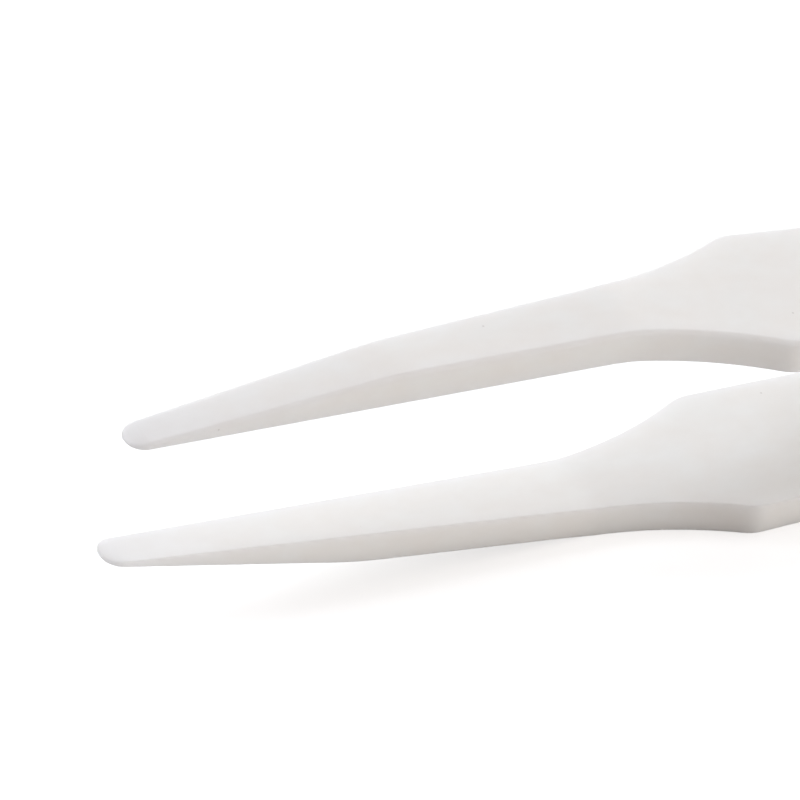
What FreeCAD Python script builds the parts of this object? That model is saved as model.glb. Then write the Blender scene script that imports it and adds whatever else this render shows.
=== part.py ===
import FreeCAD, Part
import math
import os
import Sketcher

# One pair of plastic tweezers, moulded in one piece.
#
# The sketches are drawn in the tweezers' own frame: X runs from the tips to the rear end, Y across the
# arms, and Z in the direction in which they open, with the mid-plane between the arms at Z = 0.
# A plan blank is cut twice from the side: once for the mouth between the arms and once for the backs of
# the arms. Its edges are then rounded, and the piece is laid on the back of its lower arm.

DIMENSIONS = [
    ("overall_length", 145.0, "tips to rear end"),
    ("tip_opening", 10.65, "gap between the inner faces at the tips"),
    ("bend_opening", 14.2, "gap between the inner faces at the bend, its widest place"),
    ("bend_station", 41.5, "tips to the bend, where the jaws turn into the rear arms"),
    ("bend_radius", 12.0, "inner radius of the bend"),
    ("arm_thickness", 2.85, "thickness of an arm behind the bevel"),
    ("tip_thickness", 0.45, "thickness of a jaw at its tip"),
    ("bevel_length", 21.7, "length over which the back of a jaw is bevelled"),
    ("bevel_radius", 40.0, "radius that blends the bevel into the back"),
    ("tail_height", 8.8, "height of the joined rear end"),
    ("tail_length", 13.0, "length of the solid rear end, behind the mouth"),
    ("tip_width", 2.95, "width of a jaw at its tip"),
    ("neck_width", 6.5, "width of a jaw at the end of its blade"),
    ("neck_station", 45.6, "tips to where the neck width is measured"),
    ("flare_radius", 33.5, "hollow radius between the neck and the shoulder"),
    ("shoulder_radius", 3.4, "radius of the shoulder"),
    ("shoulder_station", 54.4, "tips to the front end of the grip's side"),
    ("grip_width", 13.7, "width of the grip at the shoulder"),
    ("tail_width", 9.0, "width of the rear end"),
    ("back_edge_radius", 0.4, "rounding of the back edges, behind the bevel"),
    ("tip_edge_radius", 0.3, "rounding of the back edges at the tips"),
    ("inner_edge_radius", 0.12, "rounding of the edges of the inner faces"),
    ("cut_clearance", 5.0, "how far a cut runs past the blank"),
]

doc = FreeCAD.newDocument("tweezers")
sheet = doc.addObject("Spreadsheet::Sheet", "Size")
for row, (alias, size, note) in enumerate(DIMENSIONS, start=1):
    sheet.set(f"A{row}", str(size))
    sheet.setAlias(f"A{row}", alias)
    sheet.set(f"B{row}", note)
doc.recompute()


def number(expression):
    """The present value of an expression in the sheet's sizes, in millimetres."""
    return float(sheet.evalExpression(expression))


# Sketch vocabulary: straight runs, and the joins between one run and the next

SKETCH_ORIGIN = (-1, 1)


def sketch_axis(name):
    """A sketch counts its own axes down from -1, x first."""
    return -1 - "xy".index(name)


def heading(run):
    return (run[1] - run[0]).normalize()


def left_of(arrow):
    return FreeCAD.Vector(-arrow.y, arrow.x, 0)


def angle_of(arrow):
    return math.atan2(arrow.y, arrow.x)


def crossing(first, second):
    """Where the lines of two runs cross."""
    along, across = heading(first), heading(second)
    return first[0] + along * ((second[0] - first[0]).cross(across).z / along.cross(across).z)


def bind(sketch, kind, *picks, size):
    """Adds a dimension to a sketch and ties it to an expression."""
    index = sketch.addConstraint(Sketcher.Constraint(kind, *picks, number(size)))
    sketch.setExpression(f"Constraints[{index}]", size)


def locate(sketch, x, y):
    """Adds a construction point whose place comes from two expressions."""
    point = sketch.addGeometry(Part.Point(FreeCAD.Vector(number(x), number(y), 0)), True)
    for kind, place, axis in (("DistanceX", x, "y"), ("DistanceY", y, "x")):
        if place == "0":
            sketch.addConstraint(Sketcher.Constraint("PointOnObject", point, 1, sketch_axis(axis)))
        else:
            bind(sketch, kind, *SKETCH_ORIGIN, point, 1, size=place)
    return point


def draw_arc(sketch, centre, start, end, turn):
    """Adds an arc from start to end and returns it with the numbers of its first and last point."""
    circle = Part.Circle(centre, FreeCAD.Vector(0, 0, 1), (start - centre).Length)
    from_angle, to_angle = angle_of(start - centre), angle_of(end - centre)
    if turn < 0:
        from_angle, to_angle = to_angle, from_angle
    if to_angle < from_angle:
        to_angle += 2 * math.pi
    index = sketch.addGeometry(Part.ArcOfCircle(circle, from_angle, to_angle))
    return (index, 1, 2) if turn > 0 else (index, 2, 1)


class Corner:
    """Two straight runs meet in a sharp corner."""

    touch = "Coincident"

    def place(self, before, after):
        before[1] = after[0] = crossing(before, after)
        return []

    def fix(self, sketch, arcs):
        pass


class Rounded(Corner):
    """An arc of a given radius takes the corner that two runs share."""

    touch = "Tangent"

    def __init__(self, radius):
        self.radius = radius

    def place(self, before, after):
        radius = number(self.radius)
        incoming, outgoing = heading(before), heading(after)
        turn = math.copysign(1, incoming.cross(outgoing).z)
        reach = radius * math.tan(incoming.getAngle(outgoing) / 2)
        before[1] = before[1] - incoming * reach
        after[0] = after[0] + outgoing * reach
        centre = before[1] + left_of(incoming) * (turn * radius)
        return [(centre, before[1], after[0], turn)]

    def fix(self, sketch, arcs):
        bind(sketch, "Radius", arcs[0][0], size=self.radius)


class RoundEnd(Corner):
    """An arc closes two runs that mirror each other, and reaches to a station on the X axis."""

    touch = "Tangent"

    def __init__(self, station):
        self.station = station

    def place(self, before, after):
        incoming = heading(before)
        way, side = math.copysign(1, incoming.x), math.copysign(1, before[0].y)
        turn = -side * way
        slope = incoming.y / incoming.x
        height = side * (before[0].y + slope * (number(self.station) - before[0].x))
        radius = height * abs(incoming.x) / (1 + side * incoming.y)
        centre = FreeCAD.Vector(number(self.station) - way * radius, 0, 0)
        before[1] = centre - left_of(incoming) * (turn * radius)
        after[0] = FreeCAD.Vector(before[1].x, -before[1].y, 0)
        return [(centre, before[1], after[0], turn)]

    def fix(self, sketch, arcs):
        end = locate(sketch, self.station, "0")
        sketch.addConstraint(Sketcher.Constraint("PointOnObject", end, 1, arcs[0][0]))


class Flare(Corner):
    """A hollow arc and a shoulder arc lead from a narrow run out to a wide one, or back.

    The shoulder meets the wide run at a station on X.
    """

    touch = "Tangent"

    def __init__(self, hollow_radius, shoulder_radius, station, outward):
        self.radii = (hollow_radius, shoulder_radius)
        self.station = station
        self.outward = outward

    def place(self, before, after):
        narrow, wide = (before, after) if self.outward else (after[::-1], before[::-1])
        hollow_radius, shoulder_radius = (number(radius) for radius in self.radii)
        along, wide_way = heading(narrow), heading(wide)
        side = math.copysign(1, (wide[0] - narrow[0]).dot(left_of(along)))
        drop = (number(self.station) - wide[0].x) / wide_way.x
        shoulder_end = wide[0] + wide_way * drop
        shoulder = shoulder_end - left_of(wide_way) * (side * shoulder_radius)
        rise = side * (shoulder - narrow[0]).dot(left_of(along))
        span = math.sqrt((hollow_radius + shoulder_radius) ** 2 - (hollow_radius - rise) ** 2)
        hollow = shoulder + left_of(along) * (side * (hollow_radius - rise)) - along * span
        hollow_start = hollow - left_of(along) * (side * hollow_radius)
        middle = hollow + (shoulder - hollow).normalize() * hollow_radius
        if self.outward:
            before[1], after[0] = hollow_start, shoulder_end
            return [(hollow, hollow_start, middle, side), (shoulder, middle, shoulder_end, -side)]
        before[1], after[0] = shoulder_end, hollow_start
        return [(shoulder, shoulder_end, middle, side), (hollow, middle, hollow_start, -side)]

    def fix(self, sketch, arcs):
        hollow, shoulder = arcs if self.outward else arcs[::-1]
        bind(sketch, "Radius", hollow[0], size=self.radii[0])
        bind(sketch, "Radius", shoulder[0], size=self.radii[1])
        shoulder_end = shoulder[2] if self.outward else shoulder[1]
        bind(sketch, "DistanceX", *SKETCH_ORIGIN, shoulder[0], shoulder_end, size=self.station)


def draw_outline(sketch, runs, joins):
    """Closes straight runs into one loop. A run is a line through two points, and a join follows it."""
    ends = [[FreeCAD.Vector(number(x), number(y), 0) for x, y in run] for run in runs]
    places = [join.place(ends[index], ends[(index + 1) % len(ends)]) for index, join in enumerate(joins)]
    lines = [sketch.addGeometry(Part.LineSegment(*run_ends)) for run_ends in ends]
    for line, run in zip(lines, runs):
        for x, y in run:
            sketch.addConstraint(Sketcher.Constraint("PointOnObject", locate(sketch, x, y), 1, line))
    for index, join in enumerate(joins):
        arcs = [draw_arc(sketch, *place) for place in places[index]]
        chain = [(lines[index], 1, 2), *arcs, (lines[(index + 1) % len(lines)], 1, 2)]
        for (piece, first, last), (next_piece, next_first, next_last) in zip(chain, chain[1:]):
            sketch.addConstraint(Sketcher.Constraint(join.touch, piece, last, next_piece, next_first))
        join.fix(sketch, arcs)


def mirrored(run):
    """The run on the other side of the X axis, drawn the other way."""
    (x_first, y_first), (x_last, y_last) = run
    return (x_last, f"-({y_last})"), (x_first, f"-({y_first})")


# The body and its sketches

body = doc.addObject("PartDesign::Body", "Body")
doc.recompute()
origin_planes = {feature.Role: feature for feature in body.Origin.OriginFeatures}


def new_sketch(name, plane):
    sketch = body.newObject("Sketcher::SketchObject", name)
    sketch.AttachmentSupport = [(origin_planes[plane], "")]
    sketch.MapMode = "FlatFace"
    return sketch


def new_feature(kind, name, sketch):
    feature = body.newObject(f"PartDesign::{kind}", name)
    feature.Profile = sketch
    feature.SideType = "Symmetric"
    return feature


# Heights above the mid-plane, each true at its own station
inner_at_tip = "Size.tip_opening / 2"
inner_at_bend = "Size.bend_opening / 2"
inner_at_tail = "(Size.tail_height / 2 - Size.arm_thickness)"
jaw_slope = "((Size.bend_opening - Size.tip_opening) / 2 / Size.bend_station)"
back_at_tip = "(Size.tip_opening / 2 + Size.tip_thickness)"
back_at_bevel = f"(Size.tip_opening / 2 + {jaw_slope} * Size.bevel_length + Size.arm_thickness)"
back_at_bend = "(Size.bend_opening / 2 + Size.arm_thickness)"
back_at_tail = "Size.tail_height / 2"

# Plan blank: two blades that flare into the grips and taper straight to the rear end
blade_side = (("0", "Size.tip_width / 2"), ("Size.neck_station", "Size.neck_width / 2"))
grip_side = (("Size.shoulder_station", "Size.grip_width / 2"), ("Size.overall_length", "Size.tail_width / 2"))
flare = ("Size.flare_radius", "Size.shoulder_radius", "Size.shoulder_station")
plan = new_sketch("plan_outline", "XY_Plane")
draw_outline(
    plan,
    [blade_side, grip_side, mirrored(grip_side), mirrored(blade_side)],
    [Flare(*flare, outward=True), RoundEnd("Size.overall_length"), Flare(*flare, outward=False), RoundEnd("0")],
)
blank = new_feature("Pad", "blank", plan)
blank.setExpression("Length", f"2 * {back_at_bend}")

# Mouth: the space between the arms, widest at the bend and round where it ends
in_front = "-Size.cut_clearance"
behind = "(Size.overall_length + Size.cut_clearance)"
above = f"({back_at_bend} + Size.cut_clearance)"
jaw = (("0", inner_at_tip), ("Size.bend_station", inner_at_bend))
rear_arm = (("Size.bend_station", inner_at_bend), ("Size.overall_length", inner_at_tail))
front_closing = ((in_front, f"-({inner_at_tip})"), (in_front, inner_at_tip))
mouth = new_sketch("mouth_outline", "XZ_Plane")
draw_outline(
    mouth,
    [jaw, rear_arm, mirrored(rear_arm), mirrored(jaw), front_closing],
    [
        Rounded("Size.bend_radius"),
        RoundEnd("(Size.overall_length - Size.tail_length)"),
        Rounded("Size.bend_radius"),
        Corner(),
        Corner(),
    ],
)
mouth_cut = new_feature("Pocket", "mouth_cut", mouth)
mouth_cut.Type = "ThroughAll"

# Back of the upper arm: bevel, jaw and rear arm, each parallel to the inner face but for the bevel
bevel = (("0", back_at_tip), ("Size.bevel_length", back_at_bevel))
jaw_back = (("Size.bevel_length", back_at_bevel), ("Size.bend_station", back_at_bend))
rear_back = (("Size.bend_station", back_at_bend), ("Size.overall_length", back_at_tail))
back = new_sketch("back_outline", "XZ_Plane")
draw_outline(
    back,
    [
        bevel,
        jaw_back,
        rear_back,
        ((behind, back_at_tail), (behind, above)),
        ((behind, above), (in_front, above)),
        ((in_front, above), (in_front, back_at_tip)),
    ],
    [
        Rounded("Size.bevel_radius"),
        Rounded("(Size.bend_radius + Size.arm_thickness)"),
        Corner(),
        Corner(),
        Corner(),
        Corner(),
    ],
)
back_cut = new_feature("Pocket", "back_cut", back)
back_cut.Type = "ThroughAll"
both_backs = body.newObject("PartDesign::Mirrored", "both_backs")
both_backs.Originals = [back_cut]
both_backs.MirrorPlane = (origin_planes["XY_Plane"], [""])
body.Tip = both_backs
doc.recompute()

# Rounded edges: soft on the backs, thinner with the bevel towards the tips, and nearly sharp inside
MOSTLY = 0.5
SAME_PLACE = 1e-6


def role(face):
    """Says whether a face is a side, a back or an inner face of the tweezers."""
    axis_is_upright = abs(face.Surface.Axis.z) > MOSTLY
    is_flat = isinstance(face.Surface, Part.Plane)
    if is_flat != axis_is_upright:
        return "side"
    low_u, high_u, low_v, high_v = face.ParameterRange
    normal = face.normalAt((low_u + high_u) / 2, (low_v + high_v) / 2)
    away_from_mid_plane = normal.z * math.copysign(1, face.CenterOfMass.z)
    return "back" if away_from_mid_plane > MOSTLY else "inner"


def back_edge_size(station):
    """The rounding of a back edge, which shrinks along the bevel towards the tip."""
    share = min(station / number("Size.bevel_length"), 1)
    full, least = number("Size.back_edge_radius"), number("Size.tip_edge_radius")
    return least + (full - least) * share


def ends_of(edge):
    return [edge.valueAt(place) for place in edge.ParameterRange]


def walk(edges):
    """Lists each edge's number and two ends, walking round each loop from its first edge on.

    A rounding that varies is laid along its loop in the direction of the loop's first edge, so the two
    ends of an edge come in walking order, which may not be the edge's own.
    """
    steps = []
    left = dict(edges)
    while left:
        first = min(left)
        steps.append((first, *ends_of(left.pop(first))))
        while True:
            here = steps[-1][2]
            onward = [
                (other, ends) for other, edge in left.items() for ends in (ends_of(edge), ends_of(edge)[::-1])
                if ends[0].isEqual(here, SAME_PLACE)
            ]
            if not onward:
                break
            other, ends = onward[0]
            steps.append((other, *ends))
            del left[other]
    return steps


sharp_shape = body.Shape
edges_by_roles = {("back", "side"): {}, ("inner", "side"): {}}
for edge_number, edge in enumerate(sharp_shape.Edges, start=1):
    roles = tuple(sorted(role(face) for face in sharp_shape.ancestorsOfType(edge, Part.Face)))
    if roles in edges_by_roles:
        edges_by_roles[roles][edge_number] = edge
roundings = [
    (edge_number, back_edge_size(start.x), back_edge_size(end.x))
    for edge_number, start, end in walk(edges_by_roles["back", "side"])
]
inner_radius = number("Size.inner_edge_radius")
roundings += [(edge_number, inner_radius, inner_radius) for edge_number in edges_by_roles["inner", "side"]]
tweezers = doc.addObject("Part::Fillet", "rounded_edges")
tweezers.Label = "tweezers"
tweezers.Base = body
tweezers.Edges = roundings
doc.recompute()

# Rest: the piece lies on the flat back of its lower arm, tips raised, centred over the origin
rear_length = number("Size.overall_length - Size.bend_station")
lean = math.atan((number(back_at_bend) - number(back_at_tail)) / rear_length)
tweezers.Placement.Rotation = FreeCAD.Rotation(FreeCAD.Vector(0, 1, 0), math.degrees(lean))
doc.recompute()
box = tweezers.Shape.optimalBoundingBox(False, False)
tweezers.Placement.Base = FreeCAD.Vector(-box.Center.x, -box.Center.y, -box.ZMin)
doc.recompute()

# Nothing is written unless every feature was built and each cut took material away
for item in doc.Objects:
    if "Invalid" in item.State or "Error" in item.State:
        raise RuntimeError(f"{item.Name} is {item.State}")
for sketch in (plan, mouth, back):
    if sketch.solve() != 0 or not sketch.FullyConstrained:
        raise RuntimeError(f"{sketch.Name} is not fully constrained")
stages = [blank, mouth_cut, back_cut, both_backs, tweezers]
for before, after in zip(stages, stages[1:]):
    if not after.Shape.Volume < before.Shape.Volume:
        raise RuntimeError(f"{after.Name} took nothing away")
if tweezers.Shape.isNull() or not tweezers.Shape.isValid() or len(tweezers.Shape.Solids) != 1:
    raise RuntimeError("the tweezers are not one valid solid")

os.makedirs("parts", exist_ok=True)
tweezers.Shape.exportStep(f"parts/{tweezers.Label}.step")
print(f"volume {tweezers.Shape.Volume:.1f} mm3, lean {math.degrees(lean):.3f} degrees")
print(f"box {tweezers.Shape.optimalBoundingBox(False, False)}")
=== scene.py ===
# %% [markdown]
# # Plastic tweezers
#
# The object is one pair of white plastic tweezers, of the kind used to pick up small clean parts. It is a
# single moulding: two arms that are joined at the rear end and spring apart in front of it. The solid
# model holds its whole shape, so this script is about three things: a skin that shades smoothly, a
# plastic that looks moulded, and the soft light that white plastic needs to show its form.
#
# The solid model is loaded first, and each of its parts is set where it lies in the world.

import math

import bpy
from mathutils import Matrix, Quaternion, Vector


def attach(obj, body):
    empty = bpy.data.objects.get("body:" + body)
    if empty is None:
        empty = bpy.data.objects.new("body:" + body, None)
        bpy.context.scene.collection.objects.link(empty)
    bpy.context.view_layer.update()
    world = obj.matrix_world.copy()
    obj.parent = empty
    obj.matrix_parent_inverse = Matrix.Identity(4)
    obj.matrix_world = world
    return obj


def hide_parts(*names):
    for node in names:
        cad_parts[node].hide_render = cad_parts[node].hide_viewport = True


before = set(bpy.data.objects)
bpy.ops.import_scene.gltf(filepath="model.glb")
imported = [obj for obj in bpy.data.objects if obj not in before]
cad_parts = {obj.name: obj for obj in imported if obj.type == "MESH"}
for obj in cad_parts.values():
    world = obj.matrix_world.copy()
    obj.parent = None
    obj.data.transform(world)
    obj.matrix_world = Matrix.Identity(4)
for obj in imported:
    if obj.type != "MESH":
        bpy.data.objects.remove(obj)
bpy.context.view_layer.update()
cad_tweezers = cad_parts["tweezers"]


# %% [markdown]
# ## Three helpers for materials
#
# Colours are easiest to choose as web colours, but a shader works with linear light, so one function
# turns the first into the second. Another adds a node, sets it up and links it, which keeps each material
# below as short as a list of its ideas. The third starts an empty material for them.

# %% Colour and node helpers
MM = 0.001


def linear(web_colour):
    """Turns a web colour such as "#f0eeea" into linear red, green, blue and alpha."""
    parts = [int(web_colour[place:place + 2], 16) / 255 for place in (1, 3, 5)]
    return (*[part / 12.92 if part <= 0.04045 else ((part + 0.055) / 1.055) ** 2.4 for part in parts], 1.0)


def add_node(tree, kind, settings=(), numbered=(), **named):
    """Adds a node. Its inputs are given by name, or by number where several of them share one name. Each
    takes a number, a colour or the output of another node."""
    node = tree.nodes.new(kind)
    for name, value in dict(settings).items():
        setattr(node, name, value)
    inputs = {name.replace("_", " "): value for name, value in named.items()} | dict(numbered)
    for key, value in inputs.items():
        if isinstance(value, bpy.types.NodeSocket):
            tree.links.new(value, node.inputs[key])
        else:
            node.inputs[key].default_value = value
    return node


def new_material(name):
    """Starts an empty material and returns it with its node tree."""
    material = bpy.data.materials.new(name)
    material.use_nodes = True
    material.node_tree.nodes.clear()
    return material, material.node_tree


print("the web colour #808080 is", [round(part, 3) for part in linear("#808080")], "in linear light")

# %% [markdown]
# ## Moulded acetal
#
# The real tweezers are moulded acetal, a milky white plastic also called POM. Four things make it look
# like that. Light enters it and comes out again a millimetre or two away, so thin edges glow and shadows
# turn soft. Its skin is a copy of a finely blasted steel mould, so its shine is dull and wide. The flow of
# the melt leaves a faint cloudiness, drawn out a little along the arms. And a few specks of scorched
# plastic lie in it, hardly wider than a hair.
#
# A plain white colour would show none of this. So each of the four is a part of one shader: scattering
# below the surface, a fine bump with a wide shine, a cloud pattern in the colour, and scattered dots. The
# white itself is a little creamy. Light that goes back and forth between the two arms picks up this tint
# more than once, so the shaded parts look warmer than the bright ones, as they do in the photograph.

# %% Make the moulded acetal
CLOUD_WIDTH = 2.2 * MM
CLOUD_STRETCH = 1.4
GRAIN_WIDTH = 0.16 * MM
GRAIN_HEIGHT = 0.004 * MM
SPECK_SPACING = 4 * MM
SPECK_RADIUS = 0.06 * MM
SPECK_STRENGTH = 0.25
SCATTER_DISTANCE = 2 * MM

acetal, tree = new_material("moulded_acetal")
place = add_node(tree, "ShaderNodeTexCoord").outputs["Object"]

# The melt runs along the arms, in X, so its clouds are a little longer that way. Where the plastic is
# darker it is also a little warmer. A colour mix takes its share as input 0 and its colours as 6 and 7.
flow = add_node(tree, "ShaderNodeMapping", Vector=place, Scale=(1 / CLOUD_STRETCH, 1, 1))
cloud = add_node(tree, "ShaderNodeTexNoise", Vector=flow.outputs[0], Scale=1 / CLOUD_WIDTH, Detail=3.0)
white = add_node(
    tree,
    "ShaderNodeMix",
    {"data_type": "RGBA"},
    {0: cloud.outputs["Fac"], 6: linear("#f2efea"), 7: linear("#faf9f6")},
)

# Each cell of the pattern holds one dot, and only the few that touch the surface show.
cell = add_node(tree, "ShaderNodeTexVoronoi", Vector=place, Scale=1 / SPECK_SPACING)
dot = add_node(
    tree,
    "ShaderNodeMapRange",
    {"interpolation_type": "SMOOTHSTEP"},
    Value=cell.outputs["Distance"],
    From_Min=SPECK_RADIUS / SPECK_SPACING,
    From_Max=2 * SPECK_RADIUS / SPECK_SPACING,
    To_Min=SPECK_STRENGTH,
    To_Max=0.0,
)
speckled = add_node(
    tree,
    "ShaderNodeMix",
    {"data_type": "RGBA"},
    {0: dot.outputs[0], 6: white.outputs[2], 7: linear("#8f867b")},
)

# The real grain of a blasted mould is about 0.04 mm wide. It is drawn four times as coarse, so that it
# is as wide as two dots of the picture. The shine is a little duller where the clouds are brighter.
grain = add_node(tree, "ShaderNodeTexNoise", Vector=place, Scale=1 / GRAIN_WIDTH, Detail=1.0)
skin = add_node(tree, "ShaderNodeBump", Height=grain.outputs["Fac"], Distance=GRAIN_HEIGHT, Strength=1.0)
dullness = add_node(tree, "ShaderNodeMapRange", Value=cloud.outputs["Fac"], To_Min=0.42, To_Max=0.58)
surface = add_node(
    tree,
    "ShaderNodeBsdfPrincipled",
    {"subsurface_method": "RANDOM_WALK"},
    Base_Color=speckled.outputs[2],
    Roughness=dullness.outputs[0],
    Normal=skin.outputs[0],
    IOR=1.48,
    Subsurface_Weight=1.0,
    Subsurface_Radius=(1.0, 1.0, 1.0),
    Subsurface_Scale=SCATTER_DISTANCE,
)
add_node(tree, "ShaderNodeOutputMaterial", Surface=surface.outputs["BSDF"])
print("moulded acetal has", len(tree.nodes), "nodes")

# %% [markdown]
# ## The moulding
#
# The solid model arrives as loose triangles, which would catch the light one by one. A copy is joined
# along its shared edges, so that rounded edges can shade as one smooth surface. Only edges that turn more
# sharply than a set angle stay sharp. Weighted normals then let the large flat faces keep their own
# direction right up to the rounding.

# %% Make the smooth skin
MERGE_DISTANCE = 0.002 * MM
SHARP_ANGLE = math.radians(35)

moulding = bpy.data.objects.new("moulded_tweezers", cad_tweezers.data.copy())
bpy.context.scene.collection.objects.link(moulding)
bpy.ops.object.select_all(action="DESELECT")
moulding.select_set(True)
bpy.context.view_layer.objects.active = moulding
bpy.ops.object.mode_set(mode="EDIT")
bpy.ops.mesh.select_all(action="SELECT")
bpy.ops.mesh.remove_doubles(threshold=MERGE_DISTANCE)
bpy.ops.object.mode_set(mode="OBJECT")
bpy.ops.object.shade_smooth_by_angle(angle=SHARP_ANGLE)
weighted = moulding.modifiers.new("flat_faces_stay_flat", "WEIGHTED_NORMAL")
weighted.keep_sharp = True
moulding.data.materials.clear()
moulding.data.materials.append(acetal)
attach(moulding, "root")
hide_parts("tweezers")
print("the skin has", len(moulding.data.polygons), "faces and", len(moulding.data.vertices), "points")

# %% [markdown]
# ## Floor and backdrop
#
# White plastic is usually photographed on a white sweep. Here one large pale card is both the floor and
# the backdrop, and it takes the shadow. It stays a little grey, because a pure white one would throw so
# much light back that the sides of the arms would look as bright as their upper faces. To the camera and
# to reflections it gives some light of its own, which lifts it to white without putting any more light on
# the plastic.

# %% Lay the floor
CARD_SIZE = 12
LIFT = 0.6

card, tree = new_material("pale_card")
diffuse = add_node(tree, "ShaderNodeBsdfDiffuse", Color=linear("#dddddd"))
path = add_node(tree, "ShaderNodeLightPath")
seen = path.outputs["Is Camera Ray"]
for ray in ("Is Glossy Ray", "Is Transmission Ray"):
    either = add_node(tree, "ShaderNodeMath", {"operation": "MAXIMUM"}, {0: seen, 1: path.outputs[ray]})
    seen = either.outputs[0]
lift = add_node(tree, "ShaderNodeMath", {"operation": "MULTIPLY"}, {0: seen, 1: LIFT})
glow = add_node(tree, "ShaderNodeEmission", Color=linear("#ffffff"), Strength=lift.outputs[0])
both = add_node(tree, "ShaderNodeAddShader", numbered={0: diffuse.outputs[0], 1: glow.outputs[0]})
add_node(tree, "ShaderNodeOutputMaterial", Surface=both.outputs[0])

bpy.ops.object.select_all(action="DESELECT")
bpy.ops.mesh.primitive_plane_add(size=CARD_SIZE, location=(0, 0, 0))
floor = bpy.context.object
floor.name = "floor"
floor.data.materials.append(card)
print("the floor is", round(floor.dimensions.x, 2), "m wide")

# %% [markdown]
# ## Light
#
# White plastic shows its form only through small steps of grey, so the light comes mostly from behind and
# from the left. A wide box, low behind the tweezers, shines in between the arms. Two boxes on the left
# light the upper faces: the high one evenly, and the near one so that its light fades along the arms. A
# long low box on the right lights the edges that face the camera, one step darker. A weak and slightly
# warm light from all round stands for the room.
#
# The boxes behind and on the left are a little cool. That balances the cream of the plastic, so that it
# looks white where they reach it. The lights are weak enough to leave every face that the camera sees a
# little below white. Seen from behind, the upper faces still burn out to plain white, so a view from
# there would need weaker lights.

# %% Set the lights
ROOM_STRENGTH = 0.329
LIT_POINT = Vector((-40, 0, 12)) * MM

world = bpy.data.worlds.new("pale_room")
world.use_nodes = True
background = world.node_tree.nodes["Background"]
background.inputs["Color"].default_value = linear("#fff3ef")
background.inputs["Strength"].default_value = ROOM_STRENGTH
bpy.context.scene.world = world


def direction(azimuth, elevation):
    """Points from the tweezers outwards. Azimuth 0 is straight in front, and 90 is off the rear end."""
    turn, rise = math.radians(azimuth), math.radians(elevation)
    return Vector((math.sin(turn) * math.cos(rise), -math.cos(turn) * math.cos(rise), math.sin(rise)))


def soft_box(name, azimuth, elevation, distance, size, watts, colour):
    """Adds a soft light that faces the tweezers. Its distance, width and height are in metres."""
    lamp = bpy.data.lights.new(name, "AREA")
    lamp.shape = "RECTANGLE"
    lamp.size, lamp.size_y = size
    lamp.energy = watts
    lamp.color = linear(colour)[:3]
    box = bpy.data.objects.new(name, lamp)
    box.location = LIT_POINT + direction(azimuth, elevation) * distance
    box.rotation_euler = direction(azimuth, elevation).to_track_quat("Z", "Y").to_euler()
    box.visible_camera = False
    bpy.context.scene.collection.objects.link(box)


soft_box("behind_low", 150, 15, 1.2, (0.6, 0.6), 6.2, "#f2f9ff")
soft_box("left_high", 240, 50, 1.2, (0.6, 0.6), 3.9, "#f3f8ff")
soft_box("left_near", 240, 40, 0.35, (0.18, 0.18), 0.35, "#f3f8ff")
soft_box("right_low", 55, 4, 1.2, (0.6, 0.12), 7.0, "#fffdf9")
print("lights:", [item.name for item in bpy.data.lights])

# %% [markdown]
# ## Camera
#
# The photograph is a close view with a long lens: it shows the jaws and the front of the grips, and the
# rest of the arms runs out of the picture. The camera looks down from in front of the tips. It is turned
# a little about its own line of sight, so that the arms lie almost level in the picture. Its place was
# found by laying the edges of the model over those in the photograph.

# %% Place the camera
AIM = Vector((-48.416, 0, 15.4317)) * MM
AZIMUTH, ELEVATION, ROLL = -33.1096, 38.7677, 9.5749
DISTANCE = 1992.7 * MM
LENS, SENSOR = 1195.1, 36

camera_data = bpy.data.cameras.new("camera")
camera_data.lens = LENS
camera_data.sensor_width = SENSOR
camera = bpy.data.objects.new("camera", camera_data)
bpy.context.scene.collection.objects.link(camera)
backwards = direction(AZIMUTH, ELEVATION)
upright = (-backwards).to_track_quat("-Z", "Y")
camera.rotation_mode = "QUATERNION"
camera.rotation_quaternion = upright @ Quaternion((0, 0, 1), math.radians(ROLL))
camera.location = AIM + backwards * DISTANCE
bpy.context.scene.camera = camera
bpy.context.scene.view_settings.view_transform = "Standard"
print("the picture is", round(SENSOR / LENS * DISTANCE / MM, 1), "mm wide at the tweezers")
